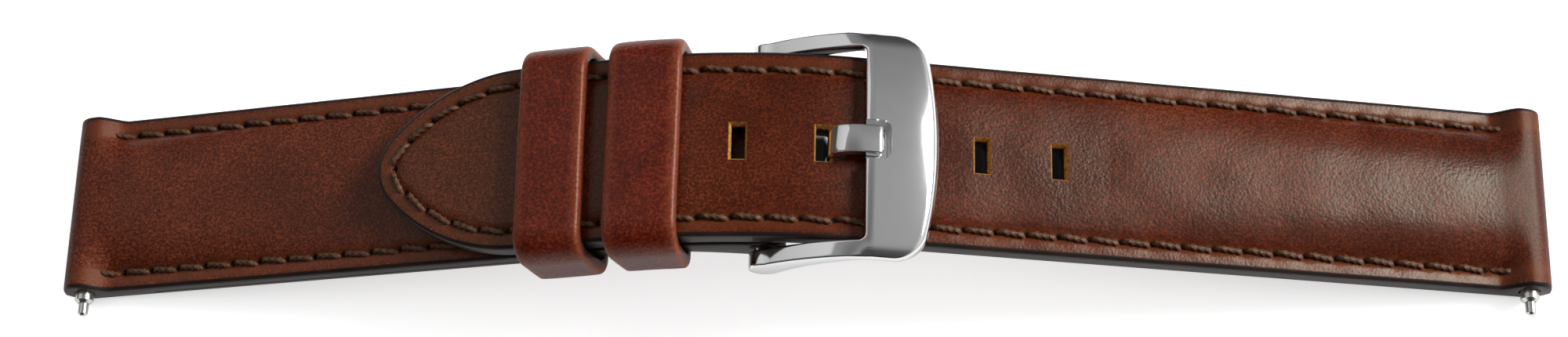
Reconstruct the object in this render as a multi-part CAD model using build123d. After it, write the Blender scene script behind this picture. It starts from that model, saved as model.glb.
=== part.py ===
from build123d import *
from math import asin, atan2, cos, degrees, radians, sin, sqrt
import os

# A closed two-piece leather watch strap with a tang buckle, standing on the
# leather loops of its two lug ends. Millimetres and degrees.
# +X runs towards the lug end of the long half, +Y to the far side, +Z up.
# The origin lies on the resting plane, halfway between the two lug ends.
# A station is a distance along the strap, counted from the end of its bend
# on the long half's side. A height is counted square to the strap, from the
# seat: the surface where the tail lies on the short half.

# Whole strap
strap_width = 18.0
bend_turn = 29.1
bend_radius = 42.8
long_run = 65.6
tail_run = 25.0
short_run = 56.8
seat_gap = 0.3
cut_overrun = 4.0

# Leather
lining_thickness = 1.0
edge_thickness = 2.2
short_edge_thickness = 2.2
tail_crown = 2.35
bend_crown = 2.6
padding_start_crown = 2.75
lug_crown = 4.05
short_flat_crown = 2.4
margin_width = 2.9
edge_rounding = 0.35
padding_start = 24.0
short_padding_start = 26.0
padding_wall = 1.05
padding_edge_height = 0.15
padding_start_height = 0.35
padding_end_gap = 0.6
lug_fold_length = 7.0

# Punched holes
hole_pitch = 7.4
hole_length = 1.5
hole_width = 3.25
tang_hole_station = -2.9
tang_hole_stretch = 1.15
holes_towards_tip = 3
holes_towards_lug = 3

# Tip
tip_taper_length = 15.5
tip_nose_radius = 4.5

# Stitches
stitch_inset = 1.8
stitch_pitch = 3.0
stitch_length = 2.2
stitch_width = 0.55
stitch_height = 0.2
stitch_lay_gap = 0.01
stitch_slant = 10.0
stitch_end_gap = 1.2

# Spring bars
barrel_radius = 0.9
barrel_bore_radius = 0.72
barrel_end_wall = 0.2
barrel_chamfer = 0.3
tip_radius = 0.5
tip_running_gap = 0.04
tip_nose_chamfer = 0.2
collar_length = 0.6
spring_wire_radius = 0.09
spring_clearance = 0.05
spring_turns = 8
spring_steps_per_turn = 8
lug_bar_end_gap = 0.1
lug_tip_length = 1.25
lug_bar_slide = 1.15
leather_bore_gap = 0.15
lug_loop_radius = 2.1

# Buckle
bar_station = -7.7
bar_loop_radius = 1.95
bar_loop_gap = 0.1
bar_fold_length = 8.0
tang_slot_width = 3.6
tang_slot_reach = 2.3
frame_side_gap = 0.35
arm_thickness = 1.6
arm_side_gap = 0.1
frame_tip_depth = 1.2
frame_tip_gap = 0.05
frame_hole_gap = 0.1
eye_radius = 1.55
eye_base_angle = 30.0
front_bar_station = 0.6
front_bar_width = 4.8
front_bar_bow = 1.6
front_bar_lift = 0.15
front_bar_thickness = 1.95
front_bar_nose = 1.2
front_bar_rise = 0.3
crest_station_offset = 0.9
arm_top_rise = 0.65
arm_base_rise = 0.75
frame_top_drop = 0.9
frame_base_drop = 0.35
frame_corner_radius = 3.4
frame_window_radius = 0.6
notch_width = 3.8
notch_length = 1.95
notch_corner_radius = 0.9

# Tang
tang_width = 2.65
tang_thickness = 1.15
tang_ring_gap = 0.05
tang_ring_wall = 0.75
tang_tip_gap = 0.3
tang_bed_gap = 0.03
tang_tip_rounding = 0.7
tang_lead = 0.85
tang_dip = 1.5
tang_shoulder_drop = 0.5
tang_flat_lead = 0.8
tang_heel_radius = 2.0
tang_shoulder_radius = 1.7
tang_flat_radius = 3.0

# Keepers
keeper_width = 6.3
keeper_thickness = 1.25
keeper_side_gap = 0.3
keeper_slide_gap = 0.2
keeper_seat_gap = 0.1
keeper_corner_radius = 1.7
fixed_keeper_station = -22.5
free_keeper_station = -24.3

long_base = seat_gap / 2
short_top = -seat_gap / 2
short_base = short_top - short_flat_crown
bend_length = radians(bend_turn) * bend_radius
overrun = cut_overrun


def polar(radius, angle):
    return Vector(radius * sin(radians(angle)), 0, radius * cos(radians(angle)))


def tangent(angle):
    return Vector(cos(radians(angle)), 0, -sin(radians(angle)))


# Level the strap: the two lug bars are at one height over the resting plane,
# and midway between them is the origin.
def unturned_point(station, height):
    if station > 0:
        return polar(bend_radius + height, bend_turn) + tangent(bend_turn) * station
    return polar(bend_radius + height, 0) + tangent(0) * (station + bend_length)


lug_height = long_base + lug_loop_radius
short_lug_height = short_base + lug_loop_radius
long_lug_station = long_run
short_lug_station = -bend_length - short_run
lug_line = unturned_point(long_lug_station, lug_height) - unturned_point(
    short_lug_station, short_lug_height
)
left_angle = -degrees(atan2(-lug_line.Z, lug_line.X))
right_angle = left_angle + bend_turn


def turned(point):
    return point.rotate(Axis.Y, left_angle)


lug_middle = (
    turned(unturned_point(long_lug_station, lug_height))
    + turned(unturned_point(short_lug_station, short_lug_height))
) * 0.5
centre = Vector(0, 0, lug_loop_radius) - lug_middle


def strap_angle(station):
    if station >= 0:
        return right_angle
    if station <= -bend_length:
        return left_angle
    return right_angle + degrees(station / bend_radius)


def strap_point(station, height):
    angle = strap_angle(station)
    past = max(station, 0) + min(station + bend_length, 0)
    return centre + polar(bend_radius + height, angle) + tangent(angle) * past


# The plane of a cross-section: local x across the strap, local y up from it.
def section_plane(station, height):
    return Plane(
        strap_point(station, height), x_dir=(0, 1, 0), z_dir=tangent(strap_angle(station))
    )


# The plane of the leather's face: local x along the strap, local z up from it.
def face_plane(station, height):
    angle = strap_angle(station)
    return Plane(strap_point(station, height), x_dir=tangent(angle), z_dir=polar(1, angle))


def side_point(station, height):
    point = strap_point(station, height)
    return (point.X, point.Z)


def side_extrude(face, width):
    return extrude(Plane.XZ * face, amount=width / 2, both=True)


def crowned_section(edge, crown):
    half = strap_width / 2
    flat = half - margin_width
    outline = Polyline((-flat, edge), (-half, edge), (-half, 0), (half, 0), (half, edge), (flat, edge))
    face = make_face([outline, ThreePointArc((flat, edge), (0, crown), (-flat, edge))])
    corners = face.vertices().filter_by(lambda v: abs(v.X) > flat + edge_rounding)
    return fillet(corners, edge_rounding)


def padding_section(rise):
    half = strap_width / 2 - margin_width
    low = lining_thickness
    side = low + padding_edge_height
    outline = Polyline((-half, side), (-half, low), (half, low), (half, side))
    return make_face([outline, ThreePointArc((half, side), (0, low + rise), (-half, side))])


def plain_section(height, wider):
    half = strap_width / 2 + wider
    return make_face(Polyline((-half, 0), (half, 0), (half, height), (-half, height), close=True))


def run(start, end, base, start_section, end_section):
    sections = [section_plane(start, base) * start_section, section_plane(end, base) * end_section]
    return loft(sections, ruled=True)


def bend(start, end, base, section):
    turn = degrees((end - start) / bend_radius)
    axis = Axis(centre, (0, 1, 0))
    return revolve(section_plane(start, base) * section, axis=axis, revolution_arc=turn)


def rod(station, height, radius, width):
    return side_extrude(Pos(*side_point(station, height)) * Circle(radius), width)


# Long half: tip, tail, bend, punched run, padded run and the loop round the lug bar
def tip_outline():
    half = strap_width / 2
    side_radius = (tip_taper_length**2 + half**2) / strap_width
    swing = degrees(asin(tip_taper_length / side_radius))
    near = CenterArc((0, half - side_radius), side_radius, 90, swing)
    far = CenterArc((0, side_radius - half), side_radius, -90, -swing)
    face = make_face([near, far, Line((0, half), (0, -half))])
    nose = face.vertices().sort_by(Axis.X)[0]
    face = fillet(nose, tip_nose_radius)
    return face


tail_station = -bend_length - tail_run
taper_station = tail_station + tip_taper_length
leather_bore_radius = barrel_radius + leather_bore_gap


def long_body():
    flat = crowned_section(edge_thickness, bend_crown)
    tail = crowned_section(edge_thickness, tail_crown)
    start = crowned_section(edge_thickness, padding_start_crown)
    lug = crowned_section(edge_thickness, lug_crown)
    pointed = run(tail_station, taper_station, long_base, tail, tail)
    prism = extrude(
        face_plane(taper_station, long_base) * tip_outline(), amount=overrun, both=True
    )
    body = pointed & prism
    body += run(taper_station, -bend_length, long_base, tail, flat)
    body += bend(-bend_length, 0, long_base, flat)
    body += run(0, padding_start, long_base, flat, start)
    body += run(padding_start, long_lug_station, long_base, start, lug)
    body += rod(long_lug_station, lug_height, lug_loop_radius, strap_width)
    return body


# A constant section carried along the strap, through its bend where it meets it
def along(start, end, base, section):
    stops = [start, min(max(start, -bend_length), end), min(max(start, 0), end), end]
    shape = Part()
    if stops[1] > stops[0]:
        shape += run(stops[0], stops[1], base, section, section)
    if stops[2] > stops[1]:
        shape += bend(stops[1], stops[2], base, section)
    if stops[3] > stops[2]:
        shape += run(stops[2], stops[3], base, section, section)
    return shape


def hole_cutters():
    cutters = []
    for place in range(-holes_towards_tip, holes_towards_lug + 1):
        station = tang_hole_station + place * hole_pitch
        cutters.append(face_plane(station, 0) * hole_prism(hole_length))
    stretched = Pos(tang_hole_stretch / 2, 0, 0) * hole_prism(hole_length + tang_hole_stretch)
    cutters.append(face_plane(tang_hole_station, 0) * stretched)
    return cutters


def hole_prism(length):
    return extrude(Rectangle(length, hole_width), amount=overrun, both=True)


def long_half():
    body = long_body()
    for cutter in hole_cutters():
        body -= cutter
    body -= rod(long_lug_station, lug_height, leather_bore_radius, strap_width + overrun)
    slab = along(
        tail_station - overrun,
        long_lug_station - lug_fold_length,
        long_base - overrun,
        plain_section(lining_thickness + overrun, overrun),
    )
    end = long_lug_station - lug_loop_radius - padding_end_gap
    padding = run(
        padding_start,
        end,
        long_base,
        padding_section(padding_start_height),
        padding_section(lug_crown - padding_wall - lining_thickness),
    )
    lining = body & slab
    leather = body - slab - padding
    return leather, lining, padding


# Short half: the loop round the lug bar, padded run, flat run, bend, the loop round the buckle bar
short_padding_station = -bend_length - short_padding_start
bar_height = long_base - bar_loop_gap - bar_loop_radius
fold_station = bar_station - bar_fold_length


def short_body():
    flat = crowned_section(short_edge_thickness, short_flat_crown)
    lug = crowned_section(short_edge_thickness, lug_crown)
    body = run(short_lug_station, short_padding_station, short_base, lug, flat)
    body += run(short_padding_station, -bend_length, short_base, flat, flat)
    body += bend(-bend_length, bar_station, short_base, flat)
    body += rod(short_lug_station, short_lug_height, lug_loop_radius, strap_width)
    body += rod(bar_station, bar_height, bar_loop_radius, strap_width)
    fold = Polyline(
        side_point(bar_station, bar_height),
        side_point(bar_station, bar_height - bar_loop_radius),
        side_point(fold_station, short_base),
        side_point(fold_station, short_base + lining_thickness),
        close=True,
    )
    return body + side_extrude(make_face(fold), strap_width)


def tang_slot():
    length = tang_slot_reach + bar_loop_radius + overrun
    box = Box(length, tang_slot_width, overrun * 2)
    return face_plane(bar_station, bar_height) * Pos(length / 2 - tang_slot_reach, 0, 0) * box


def short_half():
    body = short_body() - tang_slot()
    for station, height in ((short_lug_station, short_lug_height), (bar_station, bar_height)):
        body -= rod(station, height, leather_bore_radius, strap_width + overrun)
    slab = along(
        short_lug_station + lug_fold_length,
        fold_station,
        short_base - overrun,
        plain_section(lining_thickness + overrun, overrun),
    )
    padding = run(
        short_lug_station + lug_loop_radius + padding_end_gap,
        short_padding_station,
        short_base,
        padding_section(lug_crown - padding_wall - lining_thickness),
        padding_section(padding_start_height),
    )
    return body - slab - padding, body & slab, padding


# Stitches: one short raised length of thread for each, lying on the margins
def stitch(plane, across, turn):
    box = Box(stitch_length, stitch_width, stitch_height)
    return plane * Pos(0, across, stitch_height / 2) * Rot(Z=turn) * box


def stitch_rows(start, end, height):
    count = int((end - start) / stitch_pitch)
    across = strap_width / 2 - stitch_inset
    stitches = []
    for place in range(count):
        plane = face_plane(start + (place + 0.5) * stitch_pitch, height + stitch_lay_gap)
        stitches.append(stitch(plane, across, -stitch_slant))
        stitches.append(stitch(plane, -across, stitch_slant))
    return stitches


def tip_stitches():
    half = strap_width / 2
    side_radius = (tip_taper_length**2 + half**2) / strap_width
    row_radius = side_radius - stitch_inset
    drop = side_radius - half
    reach = degrees(asin(sqrt(row_radius**2 - drop**2) / row_radius))
    step = degrees(stitch_pitch / row_radius)
    plane = face_plane(taper_station, long_base + tail_crown + stitch_lay_gap)
    stitches = []
    for place in range(int(reach / step)):
        turn = (place + 0.5) * step
        for side in (1, -1):
            spot = Pos(-row_radius * sin(radians(turn)), side * (row_radius * cos(radians(turn)) - drop))
            stitches.append(stitch(plane * spot, 0, side * (turn - stitch_slant)))
    return stitches


# Spring bars: a crimped tube, a coil spring and two tips with collars
def turned_rod(radius, start, end):
    length = end - start
    return Pos(0, start + length / 2, 0) * Rot(X=90) * Cylinder(radius, length)


def barrel(length):
    half = length / 2
    inside = half - barrel_end_wall
    tube = turned_rod(barrel_radius, -half, half)
    tube = chamfer(tube.edges().filter_by(GeomType.CIRCLE), barrel_chamfer)
    tube -= turned_rod(barrel_bore_radius, -inside, inside)
    return tube - turned_rod(tip_radius + tip_running_gap, -length, length)


def far_tip(length, reach):
    wall = length / 2 - barrel_end_wall - tip_running_gap
    nose = turned_rod(tip_radius, wall - collar_length / 2, length / 2 + reach)
    nose = chamfer(nose.edges().filter_by(GeomType.CIRCLE).sort_by(Axis.Y)[-1], tip_nose_chamfer)
    return nose + turned_rod(barrel_bore_radius - tip_running_gap, wall - collar_length, wall)


def coil(length):
    radius = barrel_bore_radius - spring_clearance - spring_wire_radius
    inside = length / 2 - barrel_end_wall - tip_running_gap - collar_length - spring_clearance
    first = spring_wire_radius - inside
    steps = spring_turns * spring_steps_per_turn
    sections = []
    for step in range(steps + 1):
        angle = 360 * step / spring_steps_per_turn
        reach = first * (1 - 2 * step / steps)
        place = Pos(0, reach, 0) * Rot(Y=angle) * Pos(radius, 0, 0)
        sections.append(place * Rectangle(spring_wire_radius * 2, spring_wire_radius * 2))
    return loft(sections, ruled=True)


def spring_bar(name, point, length, reach):
    place = Pos(point)
    tip = far_tip(length, reach)
    return {
        f"{name}_barrel": place * barrel(length),
        f"{name}_spring": place * coil(length),
        f"{name}_near_tip": place * mirror(tip, Plane.XZ),
        f"{name}_far_tip": place * tip,
    }


# Buckle frame: a side profile lofted across the strap, cut to its outline from above
front_base = long_base + padding_start_crown + front_bar_lift
front_top = front_base + front_bar_thickness
front_end = front_bar_station + front_bar_width + front_bar_bow
bed_height = front_top - tang_thickness
bar_point = strap_point(bar_station, bar_height)
frame_inner_width = strap_width + 2 * frame_side_gap
frame_half = frame_inner_width / 2 + arm_thickness


def between(first, last, rise):
    along_x = last[0] - first[0]
    along_z = last[1] - first[1]
    length = sqrt(along_x**2 + along_z**2)
    middle = ((first[0] + last[0]) / 2, (first[1] + last[1]) / 2)
    return (middle[0] - rise * along_z / length, middle[1] + rise * along_x / length)


def frame_side(across, top_drop, base_drop):
    eye_top = (bar_point.X, bar_point.Z + eye_radius)
    eye_base = (
        bar_point.X + eye_radius * sin(radians(eye_base_angle)),
        bar_point.Z - eye_radius * cos(radians(eye_base_angle)),
    )
    crest = side_point(front_bar_station + crest_station_offset, front_top - top_drop)
    nose = side_point(front_end, front_base + front_bar_nose - base_drop)
    outer = side_point(front_end, front_base - base_drop)
    inner = side_point(front_bar_station, front_base - base_drop)
    edges = [
        ThreePointArc(eye_top, between(eye_top, crest, arm_top_rise), crest),
        ThreePointArc(crest, between(crest, nose, front_bar_rise), nose),
        Line(nose, outer),
        Line(outer, inner),
        ThreePointArc(inner, between(eye_base, inner, arm_base_rise), eye_base),
        Line(eye_base, eye_top),
    ]
    return Plane.XZ.offset(-across) * make_face(edges)


def frame_plan():
    inner_x = side_point(front_bar_station, front_base)[0]
    corner_x = side_point(front_end - front_bar_bow, front_base)[0]
    nose_x = side_point(front_end, front_base)[0]
    rear_x = bar_point.X - eye_radius
    edges = [
        Line((rear_x, -frame_half), (corner_x, -frame_half)),
        ThreePointArc((corner_x, -frame_half), (nose_x, 0), (corner_x, frame_half)),
        Line((corner_x, frame_half), (rear_x, frame_half)),
        Line((rear_x, frame_half), (rear_x, -frame_half)),
    ]
    plate = make_face(edges)
    corners = plate.vertices().filter_by(lambda v: v.X > rear_x + overrun)
    plate = fillet(corners, frame_corner_radius)
    length = inner_x - rear_x + overrun
    window = RectangleRounded(length, frame_inner_width, frame_window_radius)
    plate -= Pos(inner_x - length / 2, 0) * window
    return extrude(Pos(0, 0, bar_point.Z) * plate, amount=frame_inner_width, both=True)


def buckle_frame():
    sides = [
        frame_side(-frame_half, frame_top_drop, frame_base_drop),
        frame_side(0, 0, 0),
        frame_side(frame_half, frame_top_drop, frame_base_drop),
    ]
    solid = loft(sides)
    eye = Pos(bar_point.X, bar_point.Z) * Circle(eye_radius)
    solid += side_extrude(eye, frame_half * 2)
    solid &= frame_plan()
    hole = Pos(bar_point.X, bar_point.Z) * Circle(tip_radius + frame_tip_gap)
    solid -= side_extrude(hole, frame_inner_width + 2 * (frame_tip_depth + frame_hole_gap))
    outline = RectangleRounded(notch_length * 2 + overrun, notch_width, notch_corner_radius)
    notch = extrude(Pos(-overrun / 2, 0) * outline, amount=overrun)
    return solid - face_plane(front_bar_station, bed_height) * notch


# Tang: a curl round the barrel, then an arm that dips, rises through the hole and lies in the notch
def buckle_tang():
    ring_inner = barrel_radius + tang_ring_gap
    ring_outer = ring_inner + tang_ring_wall
    seat_height = bed_height + tang_bed_gap + tang_thickness / 2
    tip_station = front_bar_station + notch_length - tang_tip_gap - tang_thickness / 2
    route = [
        (bar_point.X, bar_point.Z - ring_outer + tang_thickness / 2),
        side_point(tang_hole_station + tang_lead, -tang_dip),
        side_point(tang_hole_station + tang_lead, seat_height - tang_shoulder_drop),
        side_point(front_bar_station - tang_flat_lead, seat_height),
        side_point(tip_station, seat_height),
    ]
    path = FilletPolyline(*route, radius=[tang_heel_radius, tang_shoulder_radius, tang_flat_radius])
    arm = make_face(offset(path, amount=tang_thickness / 2, side=Side.BOTH))
    ring = Pos(bar_point.X, bar_point.Z) * Circle(ring_outer)
    bore = Pos(bar_point.X, bar_point.Z) * Circle(ring_inner)
    solid = side_extrude(arm + ring - bore, tang_width)
    reach = tip_station + tang_thickness / 2 - bar_station + overrun
    plan = Pos(-reach / 2, 0) * RectangleRounded(reach, tang_width, tang_tip_rounding)
    prism = extrude(plan, amount=overrun, both=True)
    return solid & face_plane(tip_station + tang_thickness / 2, seat_height) * prism


# Keepers: leather bands round both halves
def keeper_section(gap_below, gap_above):
    inner_width = strap_width + 2 * keeper_side_gap
    inner_height = long_base + bend_crown - short_base + gap_below + gap_above
    outer = RectangleRounded(
        inner_width + 2 * keeper_thickness, inner_height + 2 * keeper_thickness, keeper_corner_radius
    )
    inner = RectangleRounded(inner_width, inner_height, keeper_corner_radius - keeper_thickness)
    return Pos(0, inner_height / 2 - gap_below) * (outer - inner)


def keeper(station, gap_below, gap_above):
    return along(station, station + keeper_width, short_base, keeper_section(gap_below, gap_above))


nodes = {}
nodes["long_top_leather"], nodes["long_lining"], nodes["long_padding"] = long_half()
nodes["short_top_leather"], nodes["short_lining"], nodes["short_padding"] = short_half()
row_end = lug_loop_radius + stitch_end_gap
long_stitches = stitch_rows(taper_station, long_lug_station - row_end, long_base + edge_thickness)
short_stitches = stitch_rows(
    short_lug_station + row_end, bar_station - tang_slot_reach, short_base + short_edge_thickness
)
nodes["long_seam_thread"] = Compound(children=long_stitches + tip_stitches())
nodes["short_seam_thread"] = Compound(children=short_stitches)
nodes["fixed_keeper"] = keeper(fixed_keeper_station, 0, keeper_seat_gap)
nodes["free_keeper"] = keeper(free_keeper_station - keeper_width, keeper_slide_gap, keeper_slide_gap)
nodes["buckle_frame"] = buckle_frame()
nodes["buckle_tang"] = buckle_tang()
slid = Vector(0, -lug_bar_slide, 0)
short_bar = strap_point(short_lug_station, short_lug_height) + slid
long_bar = strap_point(long_lug_station, lug_height) + slid
lug_barrel_length = strap_width - 2 * lug_bar_end_gap
nodes |= spring_bar("short_lug_bar", short_bar, lug_barrel_length, lug_tip_length)
nodes |= spring_bar("long_lug_bar", long_bar, lug_barrel_length, lug_tip_length)
buckle_barrel_length = frame_inner_width - 2 * arm_side_gap
nodes |= spring_bar("buckle_bar", bar_point, buckle_barrel_length, frame_tip_depth)

os.makedirs("parts", exist_ok=True)
for name, shape in nodes.items():
    export_step(shape, f"parts/{name}.step")
print("left slope", round(-left_angle, 3), "right slope", round(right_angle, 3))
print("buckle bar", bar_point, "short bar", short_bar, "long bar", long_bar)
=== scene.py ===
# %% [markdown]
# # A closed leather watch strap with a tang buckle
# The strap has two halves. The long half carries seven punched holes and a pointed tail.
# The short half carries the buckle and the fixed keeper. Each half is an outer leather over
# a filler and a lining, sewn along both sides and painted along its cut edges.
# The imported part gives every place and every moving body, so it is loaded first.

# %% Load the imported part
import math

import bmesh
import bpy
from mathutils import Matrix, Vector, noise


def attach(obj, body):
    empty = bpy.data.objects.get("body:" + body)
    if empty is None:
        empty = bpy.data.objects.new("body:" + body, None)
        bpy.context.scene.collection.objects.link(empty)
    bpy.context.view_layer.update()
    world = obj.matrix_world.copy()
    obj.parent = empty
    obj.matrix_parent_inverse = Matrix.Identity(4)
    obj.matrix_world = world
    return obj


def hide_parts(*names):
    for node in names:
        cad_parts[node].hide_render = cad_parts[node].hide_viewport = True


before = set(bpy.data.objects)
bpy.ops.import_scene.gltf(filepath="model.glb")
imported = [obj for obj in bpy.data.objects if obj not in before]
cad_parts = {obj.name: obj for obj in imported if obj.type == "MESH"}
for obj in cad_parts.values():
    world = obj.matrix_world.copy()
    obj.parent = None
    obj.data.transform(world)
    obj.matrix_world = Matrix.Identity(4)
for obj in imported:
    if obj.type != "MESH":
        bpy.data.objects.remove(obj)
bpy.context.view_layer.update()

mm = 0.001

# %% [markdown]
# ## The curve that the strap lies on
# Both halves follow one path: a straight run down to the left lug, a bend over the wrist
# and a straight run down to the right lug. A place on the strap is easiest to give as a
# station along the path, a height square to it and a distance across it. Stations start at
# the end of the bend and grow towards the right lug. Heights start at the surface where the
# tail lies on the short half.

# %% Strap path
bend_turn = math.radians(29.1)
bend_radius = 42.8
left_slope = math.radians(14.386)
right_slope = bend_turn - left_slope
bend_centre_x = -4.67521
bend_centre_z = -24.8102
bend_length = bend_turn * bend_radius


def path_angle(station):
    """How far the strap slopes down to the right at a station."""
    return right_slope + min(max(station, -bend_length), 0) / bend_radius


def strap_spot(station, height, across):
    """A point of the strap in metres, from its station, height and distance across in mm."""
    angle = path_angle(station)
    past = max(station, 0) + min(station + bend_length, 0)
    reach = bend_radius + height
    x = bend_centre_x + reach * math.sin(angle) + math.cos(angle) * past
    z = bend_centre_z + reach * math.cos(angle) - math.sin(angle) * past
    return Vector((x * mm, across * mm, z * mm))


def strap_frame(station, height, across, turn=0.0):
    """A matrix whose X runs along the strap and whose Z stands on it, in metres."""
    angle = path_angle(station)
    along = Vector((math.cos(angle), 0, -math.sin(angle)))
    up = Vector((math.sin(angle), 0, math.cos(angle)))
    side = Vector((0, 1, 0))
    turned_along = along * math.cos(turn) + side * math.sin(turn)
    turned_side = side * math.cos(turn) - along * math.sin(turn)
    matrix = Matrix((turned_along, turned_side, up)).transposed().to_4x4()
    matrix.translation = strap_spot(station, height, across)
    return matrix


def path_height(point):
    """The height in mm of a point that lies over the bend or to the right of it."""
    x, z = point.x / mm - bend_centre_x, point.z / mm - bend_centre_z
    if x * math.cos(right_slope) > z * math.sin(right_slope):
        return x * math.sin(right_slope) + z * math.cos(right_slope) - bend_radius
    return math.hypot(x, z) - bend_radius


print("bend length", round(bend_length, 2), "mm")

# %% [markdown]
# ## Sizes of the two halves
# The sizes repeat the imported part's, so that each piece lands where its solid is.
# The crown is the thickness in the middle of the strap. It changes along the strap, so it is
# kept as a short table of stations and thicknesses, with straight lines between them.

# %% Sizes
half_width = 9.0
margin = 2.9
long_base = 0.15
short_base = -2.55
edge_thickness = 2.2
lining_thickness = 1.0
corner = 0.4
tail_end = -bend_length - 25.0
taper_length = 15.5
taper_start = tail_end + taper_length
nose_radius = 4.5
side_radius = (taper_length**2 + half_width**2) / (2 * half_width)
long_lug = 65.6
short_lug = -bend_length - 56.8
lug_radius = 2.1
lug_fold = 7.0
bar_station = -7.7
bar_radius = 1.95
bar_height = long_base - 0.1 - bar_radius
fold_start = bar_station - 8.0
stitch_inset = 1.8
stitch_pitch = 3.0
long_crown = [
    (tail_end, 2.35), (taper_start, 2.35), (-bend_length, 2.6), (0, 2.6),
    (24.0, 2.75), (long_lug, 4.22),
]
short_crown = [(short_lug, 4.2), (-bend_length - 26.0, 2.4), (0, 2.4)]


def table_value(table, place):
    """The value between two rows of a table, by a straight line."""
    if place <= table[0][0]:
        return table[0][1]
    for (start, first), (end, last) in zip(table, table[1:]):
        if place <= end:
            return first + (last - first) * (place - start) / (end - start)
    return table[-1][1]


def clamped(value, low=0, high=1):
    return min(max(value, low), high)


print("tail end", round(tail_end, 2), "taper starts", round(taper_start, 2))

# %% [markdown]
# ## The outline of the tail
# The tail narrows along two large arcs that meet in a small round nose. A row of the mesh
# crosses the strap square to this outline, so its margin keeps one width all the way round.
# A row is therefore given by a point on the outline and the direction that points inwards.

# %% Outline and seam of the tail
nose_centre = math.sqrt((side_radius - nose_radius) ** 2 - (side_radius - half_width) ** 2)
side_swing = math.atan2(nose_centre, side_radius - half_width)


def tail_arc(swing, inset):
    """Station, distance from the middle line and turn of a point on the tail's outline."""
    if swing <= side_swing:
        reach, back, rise = side_radius - inset, 0.0, half_width - side_radius
    else:
        reach, back, rise = nose_radius - inset, nose_centre, 0.0
    station = taper_start - back - reach * math.sin(swing)
    return station, rise + reach * math.cos(swing), swing


seam_side = side_swing * (side_radius - stitch_inset)
seam_end = seam_side + (math.pi / 2 - side_swing) * (nose_radius - stitch_inset)


def seam_distance(swing):
    """Distance along the seam, from where the tail starts to taper."""
    if swing <= side_swing:
        return swing * (side_radius - stitch_inset)
    return seam_side + (swing - side_swing) * (nose_radius - stitch_inset)


def seam_place(distance):
    """Station, distance from the middle line and turn of a point on the long half's seam."""
    if distance <= 0:
        return taper_start - distance, half_width - stitch_inset, 0.0
    if distance <= seam_side:
        return tail_arc(distance / (side_radius - stitch_inset), stitch_inset)
    past = (distance - seam_side) / (nose_radius - stitch_inset)
    return tail_arc(min(side_swing + past, math.pi / 2), stitch_inset)


print("seam round the tail", round(seam_end, 2), "mm")

# %% [markdown]
# ## A plan of each half
# The two halves are made by the same functions, so what differs is kept in one plan each.
# Seam distances run along the seam. They start at the taper for the long half, and are plain
# stations for the short half. A needle hole lies at "needle" and at every pitch from it.

# %% Plans of the halves
long_stitches = int((seam_end - taper_start + long_lug - 0.8) / stitch_pitch)
long_plan = {
    "base": long_base, "lug": long_lug, "crown": long_crown, "zero": taper_start, "way": -1,
    "needle": seam_end, "first": seam_end - long_stitches * stitch_pitch, "last": seam_end,
    "seed": 3.0, "lumps": 0.05, "buckled": False,
}
short_plan = {
    "base": short_base, "lug": short_lug, "crown": short_crown, "zero": 0.0, "way": 1,
    "needle": short_lug + 1.3, "first": short_lug + 1.3, "last": bar_station - 2.3,
    "seed": 9.0, "lumps": 0.04, "buckled": True,
}
short_stitches = int((short_plan["last"] - short_plan["first"]) / stitch_pitch)
print("stitches along one side", long_stitches, "and", short_stitches)

# %% [markdown]
# ## What sewing does to leather
# A lock stitch pulls the thread down, so a sewn strap has a shallow groove along each seam,
# a pit at each needle hole and small swellings between the pits. They are real dents in
# the mesh here, because they catch the light along the whole strap.

# %% Relief of the seam
groove_depth = 0.13
groove_reach = 0.42
pit_depth = 0.34
pit_length = 0.36
pit_width = 0.27
swell_height = 0.018
swell_off = 0.62
relief_reach = 2.2
seam_lift = 0.11
lift_reach = 0.75
panel_edge = 2.05


def hump(distance, reach):
    """1 at a distance of zero, falling smoothly to nothing."""
    return math.exp(-((distance / reach) ** 2))


def relief(plan, distance, gap):
    """Height added to smooth leather at a distance along the seam and a gap from the edge."""
    off = gap - stitch_inset
    if abs(off) > relief_reach:
        return 0.0
    inside = clamped((distance - plan["first"] - 0.2) / 0.8) * clamped(plan["last"] + 1 - distance)
    share = (distance - plan["needle"]) / stitch_pitch
    near = (share - round(share)) * stitch_pitch
    groove = groove_depth * hump(off, groove_reach)
    pit = pit_depth * hump(near, pit_length) * hump(off, pit_width)
    swell = swell_height * -math.cos(2 * math.pi * near / stitch_pitch)
    return (swell * hump(abs(off) - swell_off, 0.4) - groove - pit) * inside


def panel_lift(gap):
    """How the padded panel rises on the inner side of the seam."""
    return seam_lift * (1 - hump(max(gap - stitch_inset, 0), lift_reach))


def panel_share(row, gap):
    """1 at the edge of the padded panel and 0 in the middle of the strap."""
    middle = margin + max(row["half"] - margin * row["turn"], 0)
    return clamped(1 - (gap - panel_edge) / (middle - panel_edge))


def wander(point, size, height):
    """A smooth random height, for hand-made unevenness."""
    return noise.noise(Vector(point) / size) * height


print("groove", groove_depth, "pit", pit_depth, "mm deep")

# %% [markdown]
# ## One builder for every folded body
# Leather bodies, keepers and the buckle frame are all a grid that is folded into a tube. Its
# rows follow the body and its columns run round the section. Merging the doubles sews the
# tube. Where a row's top and underside meet, as at the rounded end of a loop, the merge closes
# the end as well. This needs no caps and keeps the faces in even rows, which bend smoothly.

# %% Mesh helpers
def add_object(name, data):
    """Puts data into the scene at the origin."""
    item = bpy.data.objects.new(name, data)
    bpy.context.scene.collection.objects.link(item)
    return item


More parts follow.
